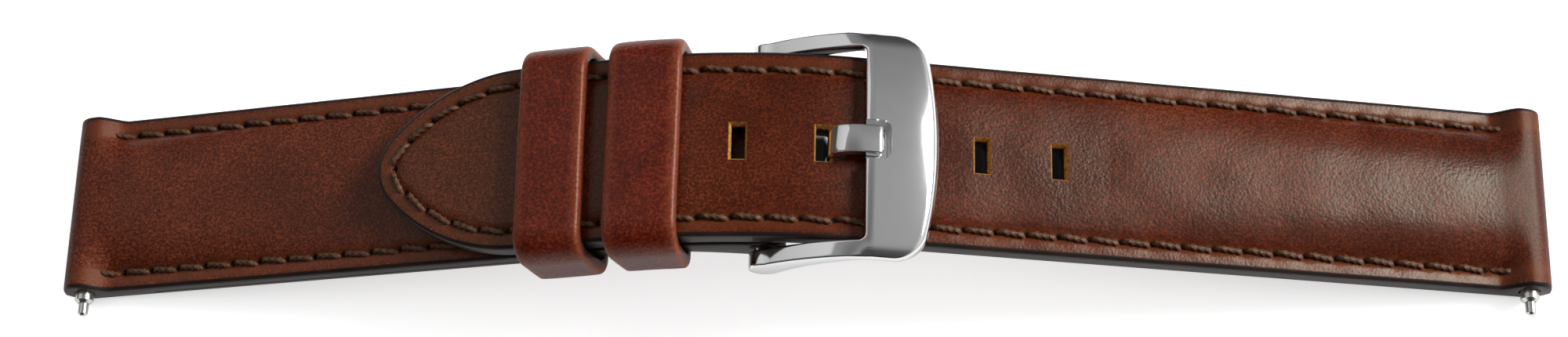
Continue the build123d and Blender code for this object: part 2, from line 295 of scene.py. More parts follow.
def smooth_piece(name, mesh):
    """A smooth shaded piece from a bmesh. It also says whether the mesh is closed."""
    for face in mesh.faces:
        face.smooth = True
    data = bpy.data.meshes.new(name)
    mesh.to_mesh(data)
    open_edges = sum(len(edge.link_faces) != 2 for edge in mesh.edges)
    print(name, len(mesh.faces), "faces,", open_edges, "open edges")
    mesh.free()
    return add_object(name, data)


def folded_grid(name, columns, rows, spot, map_name=None, merge=2e-6):
    """A closed body. spot gives a vertex's place, its map value and whether it is on an edge."""
    mesh = bmesh.new()
    bmesh.ops.create_grid(mesh, x_segments=columns, y_segments=rows, size=0.5)
    flat_map = mesh.loops.layers.uv.new(map_name) if map_name else None
    told = {}
    for vert in mesh.verts:
        column, row = round((vert.co.x + 0.5) * columns), round((vert.co.y + 0.5) * rows)
        vert.co, told[vert], vert.tag = spot(column, row)
    for face in mesh.faces:
        face.material_index = int(all(vert.tag for vert in face.verts))
        for loop in face.loops if map_name else ():
            loop[flat_map].uv = told[loop.vert]
    bmesh.ops.remove_doubles(mesh, verts=mesh.verts, dist=merge)
    bmesh.ops.recalc_face_normals(mesh, faces=mesh.faces)
    return smooth_piece(name, mesh)


# %% [markdown]
# A leather body's columns go from the middle of the top over one edge to the middle of the
# underside and back over the other edge. They crowd round the seam, where the dents are.
# Its map keeps the distance along the seam and the gap from the edge, in mm, so the finish
# can follow the edge and the needle holes.

# %% Section of a leather body
margin_gaps = [
    2.78, 2.62, 2.46, 2.32, 2.2, 2.09, 1.99, 1.9, 1.8, 1.7, 1.61, 1.51, 1.4, 1.27, 1.1, 0.9, 0.7,
    0.52,
]
inner_steps = 12
corner_turns = [90, 68, 46, 26, 10]


def section_marks():
    """The places round one side of a section, from the middle of its top to the middle below."""
    half = [("inner", step / inner_steps) for step in range(inner_steps + 1)]
    half += [("gap", gap) for gap in margin_gaps]
    half += [("corner", math.radians(turn)) for turn in corner_turns]
    low = [("low", *mark) for mark in reversed(half)]
    return [("top", *mark) for mark in half] + [("side", "side", 0.5)] + low


print("columns round a leather section", 2 * len(section_marks()))

# %% A point of a section
def row_point(row, side, mark, heights):
    """One point of a section: its station, height, distance across, and gap from the edge."""
    level, kind, value = mark
    station, half, lean, turn = row["station"], row["half"], row["lean"], row["turn"]
    top_edge, low_edge = heights(row, half, 0.0)
    size = min(corner, (top_edge - low_edge) / 2 * 0.9)
    top_corner, low_corner = size * row.get("top_round", 1), size * row.get("low_round", 1)
    drop = 0.0
    if kind == "side":
        return station, (top_edge - top_corner + low_edge + low_corner) / 2, side * half, 0.0
    if kind == "inner":
        room = max(half - margin * turn, 0)
        inset, q = margin, room * value
        gap = half - q if turn > 0.999 else margin + room * (1 - value)
    elif kind == "gap":
        inset = gap = value
        q = max(half - value * turn, 0)
    else:
        size = top_corner if level == "top" else low_corner
        inset = gap = size * (1 - math.cos(value))
        drop = size * (1 - math.sin(value))
        q = max(half - gap * turn, 0)
    top, low = heights(row, q, gap)
    height = top - drop if level == "top" else low + drop
    return station + inset * lean, height, side * q, gap


flat_row = {"station": 0, "half": half_width, "lean": 0, "turn": 1}
edge_point = row_point(flat_row, 1, ("top", "gap", 1.0), lambda row, q, gap: (2, 0))
print("a point 1 mm from the edge:", edge_point)

# %% Leather body
hole_clear = 0.7


def leather_body(name, plan, rows, heights, finish):
    """A leather body with painted edges. heights gives a row's top and low surface."""
    marks = section_marks()
    columns = marks + marks[::-1]
    for row in rows:
        row.setdefault("seam", (row["station"] - plan["zero"]) * plan["way"])

    def spot(column, number):
        row, mark = rows[number], columns[column]
        side = -1 if column < len(marks) else 1
        place, height, across, gap = row_point(row, side, mark, heights)
        along = clamped(row["seam"], plan["first"] + hole_clear, plan["last"] + stitch_pitch / 2)
        return strap_spot(place, height, across), (along, gap), mark[1] in ("corner", "side")

    piece = folded_grid(name, len(columns) - 1, len(rows) - 1, spot, "seam_map", 2e-7)
    piece.data.materials.append(finish)
    piece.data.materials.append(painted_edge)
    return piece


print("needle holes show from", hole_clear, "mm after a seam's first hole")

# %% [markdown]
# ## Cutting holes
# A punch leaves a hole with sharp rims and raw walls. A boolean cut does the same: the cutter
# carries the finish of the raw wall, and the cut takes it over. The bores of the bars and the
# slot for the tang are cut in the same way.

# %% Cutters
cut_reach = 6.0
rim_flare = 0.26
rim_depth = 0.5
rim_sink = 0.4


def block_cutter(mesh, place, length, width, height=2 * cut_reach):
    """A box with its middle at a place."""
    size = Matrix.Diagonal((length * mm, width * mm, height * mm, 1))
    bmesh.ops.create_cube(mesh, size=1, matrix=place @ size)


def flare_cutter(mesh, station, length, width, surface):
    """A short taper that opens the rim of a hole by the same amount on each side."""
    place = strap_frame(station, surface - rim_sink, 0)
    for vert in bmesh.ops.create_cube(mesh, size=2)["verts"]:
        grow = rim_flare * vert.co.z
        half = Vector((length / 2 + grow, width / 2 + grow, rim_depth))
        vert.co = place @ (Vector(a * b for a, b in zip(vert.co, half)) * mm)


def bore_cutter(mesh, station, height, radius):
    """A cylinder across the strap, for a bar."""
    middle = Matrix.Translation(strap_spot(station, height, 0))
    bmesh.ops.create_cone(
        mesh, cap_ends=True, segments=48, radius1=radius * mm, radius2=radius * mm,
        depth=(2 * half_width + cut_reach) * mm,
        matrix=middle @ Matrix.Rotation(math.pi / 2, 4, "X"),
    )


print("cutters reach", cut_reach, "mm above and below")

# %% Boolean cut
rim_angle = math.radians(40)


def cut(piece, fill, wall):
    """Cuts what fill makes out of a piece, and gives the walls the finish named by wall."""
    mesh = bmesh.new()
    fill(mesh)
    bmesh.ops.recalc_face_normals(mesh, faces=mesh.faces)
    wall_map = mesh.loops.layers.uv.new("seam_map")
    for face in mesh.faces:
        for loop in face.loops:
            loop[wall_map].uv = (0, path_height(loop.vert.co))
    data = bpy.data.meshes.new(piece.name + "_cutter")
    mesh.to_mesh(data)
    mesh.free()
    data.materials.append(wall)
    cutter = add_object(data.name, data)
    tool = piece.modifiers.new("cut", "BOOLEAN")
    tool.operation = "DIFFERENCE"
    tool.solver = "EXACT"
    tool.material_mode = "TRANSFER"
    tool.object = cutter
    bpy.context.view_layer.update()
    shaped = piece.evaluated_get(bpy.context.evaluated_depsgraph_get())
    result = bpy.data.meshes.new_from_object(shaped)
    piece.modifiers.clear()
    old, piece.data = piece.data, result
    bpy.data.meshes.remove(old)
    bpy.data.objects.remove(cutter)
    result.name = piece.name
    result.set_sharp_from_angle(angle=rim_angle)
    print(piece.name, len(result.polygons), "faces after the cut")


print("edges over", round(math.degrees(rim_angle)), "degrees stay sharp")

# %% [markdown]
# ## Finishes: helpers
# Each finish is a node tree on one Principled shader. The helpers keep the trees readable.
# A value that one node hands to the next is a pair: the node and the name of its output.

# %% Node helpers
def add(tree, kind, inputs=(), **settings):
    """A node with its settings and the values of its inputs."""
    node = tree.nodes.new(kind)
    for key, value in settings.items():
        setattr(node, key, value)
    for key, value in dict(inputs).items():
        node.inputs[key].default_value = value
    return node


def join(tree, pair, target, into):
    tree.links.new(pair[0].outputs[pair[1]], target.inputs[into])


def feed(tree, node, place, value):
    """Gives an input a pair, a number or a colour."""
    if isinstance(value, tuple) and isinstance(value[0], bpy.types.Node):
        join(tree, value, node, place)
    elif value is not None:
        node.inputs[place].default_value = (*value, 1) if isinstance(value, tuple) else value


def new_finish(name, roughness, **sockets):
    material = bpy.data.materials.new(name)
    material.use_nodes = True
    shader = material.node_tree.nodes["Principled BSDF"]
    shader.inputs["Roughness"].default_value = roughness
    for key, value in sockets.items():
        feed(material.node_tree, shader, key.replace("_", " "), value)
    return material, material.node_tree, shader


print("outputs are handed on as pairs, such as", ("node", "Fac"))

# %% Texture helpers
def texture(tree, kind, inputs, **settings):
    """A texture that follows the object's own coordinates."""
    node = add(tree, kind, inputs, **settings)
    place = tree.nodes.get("place") or add(tree, "ShaderNodeTexCoord", name="place")
    join(tree, (place, "Object"), node, "Vector")
    return node


def noise_field(tree, scale, detail, roughness=0.5):
    values = {"Scale": scale, "Detail": detail, "Roughness": roughness}
    return texture(tree, "ShaderNodeTexNoise", values), "Fac"


def cell_field(tree, scale, smoothness):
    values = {"Scale": scale, "Smoothness": smoothness}
    return texture(tree, "ShaderNodeTexVoronoi", values, feature="SMOOTH_F1"), "Distance"


def map_parts(tree, map_name):
    """The two values of a map, as pairs."""
    flat, split = add(tree, "ShaderNodeUVMap", uv_map=map_name), add(tree, "ShaderNodeSeparateXYZ")
    join(tree, (flat, "UV"), split, "Vector")
    return (split, "X"), (split, "Y")


print("textures follow the Object output of one coordinate node")

# %% Helpers for colours and values
def ramp(tree, source, stops):
    """A colour ramp with (place, colour) stops. A colour is a triple or a grey number."""
    node = add(tree, "ShaderNodeValToRGB")
    elements = node.color_ramp.elements
    while len(elements) < len(stops):
        elements.new(0.5)
    for element, (place, colour) in zip(elements, stops):
        element.position = place
        element.color = (*colour, 1) if isinstance(colour, tuple) else (colour, colour, colour, 1)
    join(tree, source, node, "Fac")
    return node, "Color"


def arithmetic(tree, operation, first, second=None, clamp=False):
    node = add(tree, "ShaderNodeMath", operation=operation, use_clamp=clamp)
    feed(tree, node, 0, first)
    feed(tree, node, 1, second)
    return node, "Value"


def remap(tree, source, low, high, to_low=0.0, to_high=1.0, kind="SMOOTHSTEP"):
    """A step from one range to another, smooth unless kind says otherwise."""
    values = {"From Min": low, "From Max": high, "To Min": to_low, "To Max": to_high}
    node = add(tree, "ShaderNodeMapRange", values, interpolation_type=kind)
    join(tree, source, node, "Value")
    return node, "Result"


def blend_colours(tree, share, first, second, mode="MIX"):
    """Mixes two colours, each a triple or a pair. share is a number or a pair."""
    node = add(tree, "ShaderNodeMix", data_type="RGBA", blend_type=mode)
    for place, value in ((0, share), (6, first), (7, second)):
        feed(tree, node, place, value)
    return node, 2


def bump(tree, shader, layers):
    """Chains bump nodes, each (height pair, distance in metres)."""
    last = None
    for height, distance in layers:
        node = add(tree, "ShaderNodeBump", {"Strength": 1.0, "Distance": distance})
        join(tree, height, node, "Height")
        if last:
            join(tree, (last, "Normal"), node, "Normal")
        last = node
    join(tree, (last, "Normal"), shader, "Normal")


print("a number inside 0 to 1:", clamped(1.4))

# %% [markdown]
# ## Strap leather
# Vegetable-tanned leather has a pebbled grain of about a third of a millimetre, a colour that
# drifts between red and dark brown, darker pull-up patches and a satin coat of wax. The seam
# map paints shade into each needle hole as a near-black spot, and lightens the rubbed band
# beside the seam.
# Towards the tail the leather is darker from handling, and at the lugs its wax is duller.

# %% Strap leather finish
handled_tone = (0.125, 0.031, 0.0115)
pucker_tone = (0.15, 0.036, 0.011)
needle_hole_shade = (0.004, 0.002, 0.0015)


def leather_finish(name, plan, tones, roughness, gloss, grain, handled):
    """tones are the dark, middle and warm colour. handled is the share of the tail's tone."""
    material, tree, shader = new_finish(
        name, roughness, Specular_IOR_Level=gloss, Specular_Tint=(1.0, 0.94, 0.77),
    )
    seam, gap = map_parts(tree, "seam_map")
    drift = noise_field(tree, 95.0, 5.0, 0.6)
    base = ramp(tree, drift, list(zip((0.34, 0.5, 0.66), tones)))
    mottle = ramp(tree, noise_field(tree, 4300.0, 4.0, 0.65), [
        (0.38, (0.5, 0.4, 0.34)), (0.5, (0.95, 0.92, 0.9)), (0.63, (1.95, 2.15, 2.2)),
    ])
    tone = blend_colours(tree, remap(tree, seam, -9.0, 3.0, 0.0, handled), base, handled_tone)
    colour = blend_colours(tree, 1.0, tone, mottle, "MULTIPLY")
    rubbed = arithmetic(tree, "SUBTRACT", remap(tree, gap, 0.35, 0.9), remap(tree, gap, 1.4, 2.9))
    rubbed = arithmetic(tree, "MULTIPLY", rubbed, 0.55, clamp=True)
    rubbed_tone = tuple(part * more for part, more in zip(tones[2], (1.2, 1.5, 1.7)))
    colour = blend_colours(tree, rubbed, colour, rubbed_tone)
    phase = arithmetic(tree, "SUBTRACT", seam, plan["needle"] % stitch_pitch)
    phase = arithmetic(tree, "PINGPONG", arithmetic(tree, "DIVIDE", phase, stitch_pitch), 0.5)
    along = arithmetic(tree, "MULTIPLY", phase, stitch_pitch)
    off = arithmetic(tree, "ABSOLUTE", arithmetic(tree, "SUBTRACT", gap, stitch_inset))
    pucker = arithmetic(
        tree, "MULTIPLY", remap(tree, off, 0.2, 0.75, 1.0, 0.0),
        remap(tree, along, 0.3, 1.2, 0.75, 0.1),
    )
    colour = blend_colours(tree, pucker, colour, pucker_tone)
    # Painted shade: each needle hole gets a near-black spot for the shade inside it. The same mask
    # also makes the hole duller.
    near = arithmetic(tree, "ADD", arithmetic(tree, "MULTIPLY", along, 0.75), off)
    hole = remap(tree, near, 0.22, 0.42, 0.92, 0.0)
    colour = blend_colours(tree, hole, colour, needle_hole_shade)
    join(tree, colour, shader, "Base Color")
    cells = cell_field(tree, grain, 0.5)
    pores = noise_field(tree, grain * 0.4, 3.0, 0.55)
    bump(tree, shader, [(pores, 0.000016), (cells, -0.000011)])
    shine = remap(tree, drift, 0.3, 0.7, roughness - 0.05, roughness + 0.08, "LINEAR")
    dry = arithmetic(tree, "ADD", shine, arithmetic(tree, "MULTIPLY", hole, 0.7), clamp=True)
    at_lug = remap(tree, seam, plan["first"] + 0.4, plan["first"] + 3.2, 0.17, 0.0)
    join(tree, arithmetic(tree, "ADD", dry, at_lug), shader, "Roughness")
    return material


strap_leather = leather_finish(
    "long_half_leather", long_plan,
    ((0.056, 0.0074, 0.0018), (0.082, 0.0112, 0.0028), (0.116, 0.0195, 0.0055)),
    roughness=0.28, gloss=0.28, grain=3600.0, handled=0.6,
)
short_leather = leather_finish(
    "short_half_leather", short_plan,
    ((0.092, 0.0165, 0.0068), (0.122, 0.0225, 0.0092), (0.150, 0.031, 0.0125)),
    roughness=0.32, gloss=0.24, grain=3800.0, handled=0.0,
)
print("made", strap_leather.name, "and", short_leather.name)

# %% [markdown]
# ## Lining, painted edges, raw walls and thread
# The lining is a softer, lighter leather. The cut edges are filled and painted almost black,
# then burnished to a gloss. The punched walls show tan fibres near the rim. Further down,
# painted shade darkens them almost to black. The thread is waxed linen.

# %% Other leather finishes
def plain_finish(name, low, high, roughness, scale, grain_scale, grain_depth, **sockets):
    """Two colours that drift into each other, with a fine grain."""
    material, tree, shader = new_finish(name, roughness, **sockets)
    colour = ramp(tree, noise_field(tree, scale, 4.0, 0.6), [(0.3, low), (0.7, high)])
    join(tree, colour, shader, "Base Color")
    bump(tree, shader, [(noise_field(tree, grain_scale, 3.0, 0.65), grain_depth)])
    return material


lining_leather = plain_finish(
    "soft_lining", (0.16, 0.075, 0.034), (0.25, 0.125, 0.06), 0.62, 160.0, 2600.0, 0.00006,
)
painted_edge = plain_finish(
    "painted_edge", (0.014, 0.009, 0.0075), (0.030, 0.018, 0.014), 0.36, 260.0, 900.0, 0.00003,
    Specular_IOR_Level=0.16,
)
thread_finish = plain_finish(
    "waxed_thread", (0.062, 0.025, 0.013), (0.21, 0.100, 0.054), 0.42, 2500.0, 9000.0, 0.00003,
    Specular_IOR_Level=0.35,
)

raw_wall, wall_tree, wall_shader = new_finish("raw_wall", 0.85, Specular_IOR_Level=0.1)
fibres = noise_field(wall_tree, 3200.0, 3.0, 0.7)
tan = ramp(wall_tree, fibres, [(0.3, (0.26, 0.10, 0.02)), (0.7, (0.72, 0.37, 0.09))])
ragged = arithmetic(wall_tree, "MULTIPLY", fibres, 0.7)
level = arithmetic(wall_tree, "ADD", map_parts(wall_tree, "seam_map")[1], ragged)
# Painted shade: below the rim the wall colour turns almost black with depth, for the shade deep in
# the hole.
wall_depth_shade = remap(wall_tree, level, 2.1, 2.65, 1.0, 0.0)
wall_colour = blend_colours(wall_tree, wall_depth_shade, tan, (0.012, 0.006, 0.003))
join(wall_tree, wall_colour, wall_shader, "Base Color")
bump(wall_tree, wall_shader, [(fibres, 0.0001)])
print("lining, edge, thread and wall finishes made")

# %% [markdown]
# ## The long half
# Rows go from the nose of the tail to the loop round the right lug bar. Near the loop, the
# top surface rises on to the bar, and the last rows shrink to a line, which closes the end.
# The outer leather ends below at the lining, and folds under it for the last 7 mm.

# %% Rows
row_step = 0.27
lining_step = 0.5
loop_rows = 12


def straight_rows(start, end, step, **more):
    """Rows square to the strap between two stations."""
    count = max(1, round((end - start) / step))
    return [
        {"station": start + (end - start) * k / count, "half": half_width,
         "lean": 0.0, "turn": 1.0, **more}
        for k in range(count + 1)
    ]


def tail_rows(step, **more):
    """Rows round the tail, from the nose back to where the taper starts."""
    rows = []
    count = round((seam_end + 3) / step)
    for k in range(count):
        swing = math.pi / 2 * (1 - k / count)
        station, q, _ = tail_arc(swing, 0.0)
        rows.append({"station": station, "half": q, "lean": math.sin(swing),
                     "turn": math.cos(swing), "seam": seam_distance(swing), **more})
    return rows


def end_rows(station, direction, radius, centre_height):
    """Rows that shrink to a line round a bar, as the rounded end of a folded loop."""
    rows = []
    for k in range(1, loop_rows + 1):
        turn = math.pi / 2 * k / loop_rows
        place = station + direction * radius * math.sin(turn)
        rows += straight_rows(place, place, 1, loop=(centre_height, radius * math.cos(turn)))[:1]
    return rows


print("rows round the tail", len(tail_rows(row_step)))

# %% Surfaces beside the loops
skirt_start = 0.4
skirt_length = 2.6
loop_blend = 0.2


def loop_skirt(top, inward, crest):
    """The height of the leather where it comes down from a loop on to the strap."""
    share = clamped((inward - skirt_start) / skirt_length)
    return crest + (top - crest) * share * share * (3 - 2 * share)


def soft_max(first, second, reach):
    """The larger of two heights, with the corner between them filled."""
    gap = max(reach - abs(first - second), 0) / reach
    return max(first, second) + gap * gap * reach / 4


def buckle_loop(station, top, low):
    """Raises the top on to the buckle's loop and skives the underside to a wedge before it."""
    off = station - bar_station
    if abs(off) < bar_radius:
        top = soft_max(top, bar_height + math.sqrt(bar_radius**2 - off**2), loop_blend)
    if station > fold_start:
        share = min((station - fold_start) / (bar_station - fold_start), 1)
        low = short_base + (bar_height - bar_radius - short_base) * share
    return top, low


crest = long_base + 2 * lug_radius
print("height 2 mm before a loop", round(loop_skirt(long_base + edge_thickness, 2, crest), 2), "mm")

# %% Surfaces of the leather and the lining
dome_power = 3.2
underside_share = 0.45
knife_edge = 0.0001


def face_heights(plan):
    """The function that gives the top and low surface of a half's outer leather."""
    base = plan["base"]

    def heights(row, q, gap):
        if "loop" in row:
            centre, rise = row["loop"]
            return centre + rise, centre - rise
        station = row["station"] + min(gap, margin) * row["lean"]
        crown = table_value(plan["crown"], station) - edge_thickness - seam_lift
        dome = crown * (1 - panel_share(row, gap) ** dome_power)
        fullness = min(max(row["half"] - margin, 0) / (half_width - margin), 1)
        top = base + edge_thickness + dome * fullness + panel_lift(gap)
        top += relief(plan, row["seam"], gap)
        top += wander((station, q * 1.3, plan["seed"]), 5.0, plan["lumps"])
        top = loop_skirt(top, abs(plan["lug"] - station), base + 2 * lug_radius)
        low = base + (0.0 if row.get("folded") else lining_thickness)
        return buckle_loop(station, top, low) if plan["buckled"] else (top, low)

    return heights


def lining_heights(plan):
    """The same for a lining. Its stitches show on the underside, and its ends are cut off."""
    base = plan["base"]

    def heights(row, q, gap):
        top = base + lining_thickness
        if row.get("closed"):
            return (top + base) / 2 + knife_edge, (top + base) / 2
        return top, base - underside_share * relief(plan, row["seam"], gap)

    return heights


print("the lining takes", underside_share, "of the seam's relief")

# %% Body of the long half
fold = long_lug - lug_fold
lug_height = long_base + lug_radius
long_rows = tail_rows(row_step, low_round=0)
long_rows += straight_rows(taper_start, fold, row_step, low_round=0)
long_rows += straight_rows(fold, long_lug, row_step, folded=True)
long_rows += end_rows(long_lug, 1, lug_radius, lug_height)
long_leather = leather_body(
    "long_leather", long_plan, long_rows, face_heights(long_plan), strap_leather,
)

# %% [markdown]
# The seven holes are 7.4 mm apart. The one that the tang passes through is drawn out to the
# right, because the tang leans there. The stretched side is only as wide as the tang.

# %% Punch the long half
hole_pitch = 7.4
hole_length = 1.3
hole_width = 3.25
tang_hole = -2.9
tang_stretch = 1.35
tang_width = 2.75
slit_overlap = 0.4
lug_bore = 1.05
hole_stations = [tang_hole + place * hole_pitch for place in range(-3, 4)]


def punched_holes(mesh):
    for station in hole_stations:
        block_cutter(mesh, strap_frame(station, 0, 0), hole_length, hole_width)


def long_cuts(mesh):
    punched_holes(mesh)
    bore_cutter(mesh, long_lug, lug_height, lug_bore)


def hole_rims(mesh):
    for station in hole_stations:
        surface = long_base + table_value(long_crown, station)
        flare_cutter(mesh, station, hole_length, hole_width, surface)


def tang_slit(mesh):
    station = tang_hole + (hole_length + tang_stretch - slit_overlap) / 2
    block_cutter(mesh, strap_frame(station, 0, 0), tang_stretch + slit_overlap, tang_width)


for fill in (long_cuts, hole_rims, tang_slit):
    cut(long_leather, fill, raw_wall)

# %% [markdown]
# The lining lies under the whole long half, up to where the outer leather folds round the bar.

# %% Lining of the long half
lining_rows = tail_rows(lining_step, top_round=0)
lining_rows += straight_rows(taper_start, fold, lining_step, top_round=0)
lining_rows.append(dict(lining_rows[-1], closed=True))
long_lining = leather_body(
    "long_lining_leather", long_plan, lining_rows, lining_heights(long_plan), lining_leather,
)
for fill in (punched_holes, tang_slit):
    cut(long_lining, fill, raw_wall)

# %% [markdown]
# ## The short half
# It has a loop at each end: one round the left lug bar, and one round the bar of the buckle,
# where a slot lets the tang swing. The leather folds under by 8 mm at the buckle and is
# skived to a wedge there.

# %% Short half
short_fold = short_lug + lug_fold
short_lug_height = short_base + lug_radius
slot_reach = 2.3
slot_width = 3.6


def short_cuts(mesh):
    bore_cutter(mesh, short_lug, short_lug_height, lug_bore)
    bore_cutter(mesh, bar_station, bar_height, lug_bore)
    length = slot_reach + bar_radius + cut_reach
    onward = Matrix.Translation(((length / 2 - slot_reach) * mm, 0, 0))
    block_cutter(mesh, strap_frame(bar_station, bar_height, 0) @ onward, length, slot_width)


short_rows = end_rows(short_lug, -1, lug_radius, short_lug_height)[::-1]
short_rows += straight_rows(short_lug, short_fold, row_step, folded=True)
short_rows += straight_rows(short_fold, fold_start, row_step, low_round=0)
short_rows += straight_rows(fold_start, bar_station, row_step, folded=True)
short_rows += end_rows(bar_station, 1, bar_radius, bar_height)
short_half = leather_body(
    "short_leather", short_plan, short_rows, face_heights(short_plan), short_leather,
)
cut(short_half, short_cuts, raw_wall)

lining_rows = straight_rows(short_fold, fold_start, lining_step, top_round=0)
ends = [dict(lining_rows[place], closed=True) for place in (0, -1)]
short_lining = leather_body(
    "short_lining_leather", short_plan, ends[:1] + lining_rows + ends[1:],
    lining_heights(short_plan), lining_leather,
)

# %% [markdown]
# ## Thread
# Each stitch is a short length of three-ply thread that comes out of one needle hole and goes
# into the next. One stitch is made by extruding a three-lobed ring along a low arch and
# turning it at each step, which gives the twist. Its copies are laid along both seams of each
# half, on the face and on the underside.

# %% One stitch
stitch_rings = 13
stitch_span = 2.8
lobe_out = 0.38
lobe_in = 0.24
twist_step = math.radians(40)


def one_stitch():
    """A bmesh of one stitch along X, rising to Z and dipping at both ends."""
    mesh = bmesh.new()
    upright = Matrix.Rotation(math.pi / 2, 4, "Y")
    bmesh.ops.create_circle(mesh, cap_ends=False, segments=6, radius=1.0, matrix=upright)
    rings = [list(mesh.verts)]
    profile = [
        (vert.co.copy(), lobe_out if k % 2 == 0 else lobe_in) for k, vert in enumerate(rings[0])
    ]
    for _ in range(1, stitch_rings):
        last = rings[-1]
        edges = [edge for edge in mesh.edges if all(vert in last for vert in edge.verts)]
        made = bmesh.ops.extrude_edge_only(mesh, edges=edges)["geom"]
        fresh = [item for item in made if isinstance(item, bmesh.types.BMVert)]
        rings.append([min(fresh, key=lambda vert: (old.co - vert.co).length) for old in last])
    for step, ring in enumerate(rings):
        share = 2 * step / (stitch_rings - 1) - 1
        fall = share**6
        turn = Matrix.Rotation(twist_step * step, 4, "X")
        for vert, (co, radius) in zip(ring, profile):
            spot = turn @ (co * radius * (1 - 0.35 * fall))
            height = spot.z * 0.9 + 0.15 - 0.5 * fall
            vert.co = Vector((share / 2 * stitch_span, spot.y - 0.16 * share, height)) * mm
    rims = [edge for edge in mesh.edges if edge.is_boundary]
    bmesh.ops.holes_fill(mesh, edges=rims, sides=0)
    bmesh.ops.recalc_face_normals(mesh, faces=mesh.faces)
    for face in mesh.faces:
        face.smooth = True
    return mesh


template_mesh = one_stitch()
stitch_data = bpy.data.meshes.new("one_stitch")
template_mesh.to_mesh(stitch_data)
stitch_points = len(template_mesh.verts)
print("one stitch has", len(template_mesh.faces), "faces")
template_mesh.free()

# %% [markdown]
# The copies follow the seam. Round the tail they turn with it. Each copy gets a slightly
# different lean and twist, as sewing does.

# %% Unevenness of stitches
def varied(matrix, number):
    """A small lean, shift and roll for one stitch."""
    lean = noise.noise(Vector((number * 1.7, 0.3, 0.9))) * 0.09
    shift = noise.noise(Vector((number * 2.3, 5.1, 0.4))) * 0.07 * mm
    roll = noise.noise(Vector((number * 3.1, 2.2, 7.4))) * 0.15
    turned = Matrix.Rotation(lean, 4, "Z") @ Matrix.Rotation(roll, 4, "X")
    return matrix @ Matrix.Translation((0, shift, 0)) @ turned


print("first stitch is turned to", varied(Matrix(), 0).to_euler())

# %% Sewn seams
stitch_sink = 0.10
underside_sink = 0.04


def seated(plan, station, across, turn):
    """The place of a stitch on the margin, where it climbs a little on to the loop."""
    base = plan["base"]
    behind, here, ahead = [
        loop_skirt(base + edge_thickness, abs(plan["lug"] - station - off), base + 2 * lug_radius)
        for off in (-1, 0, 1)
    ]
    climb = Matrix.Rotation(math.atan2(behind - ahead, 2), 4, "Y")
    return strap_frame(station, here - stitch_sink, across, turn) @ climb


def sewn(name, plan, places, number, under_from, under_to):
    """Both seams of a half, and their stitches on the underside between two stations."""
    face, under = [], []
    for k, (station, q, swing) in enumerate(places):
        for side in (-1, 1):
            across, turn = side * q, side * swing
            face.append(varied(seated(plan, station, across, turn), number + 2 * k + side))
            if under_from < station < under_to:
                below = strap_frame(station, plan["base"] + underside_sink, across, turn)
                under.append(below @ Matrix.Rotation(math.pi, 4, "X"))
    mesh = bmesh.new()
    for matrix in face + under:
        mesh.from_mesh(stitch_data)
        mesh.verts.ensure_lookup_table()
        bmesh.ops.transform(mesh, matrix=matrix, verts=mesh.verts[-stitch_points:])
    piece = smooth_piece(name, mesh)
    piece.data.materials.append(thread_finish)
    return piece


long_places = [seam_place(seam_end - (k + 0.5) * stitch_pitch) for k in range(long_stitches)]
long_thread = sewn("long_thread", long_plan, long_places, 0, tail_end, fold - 1)
short_places = [
    (short_plan["needle"] + (k + 0.5) * stitch_pitch, half_width - stitch_inset, 0.0)
    for k in range(short_stitches)
]
short_thread = sewn(
    "short_thread", short_plan, short_places, 500, short_fold + 1, fold_start - 1,
)

# %% [markdown]
# ## Keepers
# A keeper is a strip of leather bent into a flat loop with its ends joined on the underside.
# Its long edges are rounded and rubbed lighter. It is a grid folded into a ring: rows go round
# the loop, and columns go round the strip's own section.

# %% Walk round a keeper
keeper_inside = 18.6
keeper_low_corner = 0.5
keeper_top_corner = 1.5
walk_step = 0.35
corner_steps = 8


def loop_walk(width, height, low, top):
    """Points round a rounded rectangle, each with its outward direction, from the middle below."""
    w, h = width / 2, height / 2
    runs = [
        ((0, -h), (w - low, -h), (0, -1), (w - low, low - h), -90, low),
        ((w, low - h), (w, h - top), (1, 0), (w - top, h - top), 0, top),
        ((w - top, h), (top - w, h), (0, 1), (top - w, h - top), 90, top),
        ((-w, h - top), (-w, low - h), (-1, 0), (low - w, low - h), 180, low),
        ((low - w, -h), (0, -h), (0, -1), None, 0, 0),
    ]
    points = []
    for start, end, out, middle, begin, radius in runs:
        count = max(2, round(math.dist(start, end) / walk_step))
        for k in range(count):
            share = k / count
            points.append((start[0] + (end[0] - start[0]) * share,
                           start[1] + (end[1] - start[1]) * share, *out))
        for k in range(corner_steps) if middle else ():
            turn = math.radians(begin + 90 * k / corner_steps)
            y, z = math.cos(turn), math.sin(turn)
            points.append((middle[0] + radius * y, middle[1] + radius * z, y, z))
    return points


print("points round a square keeper", len(loop_walk(keeper_inside, keeper_inside, 1, 1)))

# %% Keepers
keeper_width = 6.55
keeper_thickness = 1.25
keeper_swell = 0.07
join_place = 1.5
join_depth = 0.28


def strip_section():
    """Places round the strip's section: (share of its width, share of its thickness)."""
    top_edge, low_edge = 0.075, 0.04
    places = [(top_edge + (1 - 2 * top_edge) * k / 14, 1.0) for k in range(15)]
    for turn in (67, 45, 22, 0):
        reach = math.radians(turn)
        places.append((1 - top_edge * (1 - math.cos(reach)), 0.62 + 0.38 * math.sin(reach)))
    for turn in (0, -30, -60):
        reach = math.radians(turn)
        places.append((1 - low_edge * (1 - math.cos(reach)), 0.2 + 0.2 * math.sin(reach)))
    places += [(1 - low_edge - (1 - 2 * low_edge) * k / 6, 0.0) for k in range(7)]
    return places + [(1 - share, depth) for share, depth in places[15:22][::-1]]


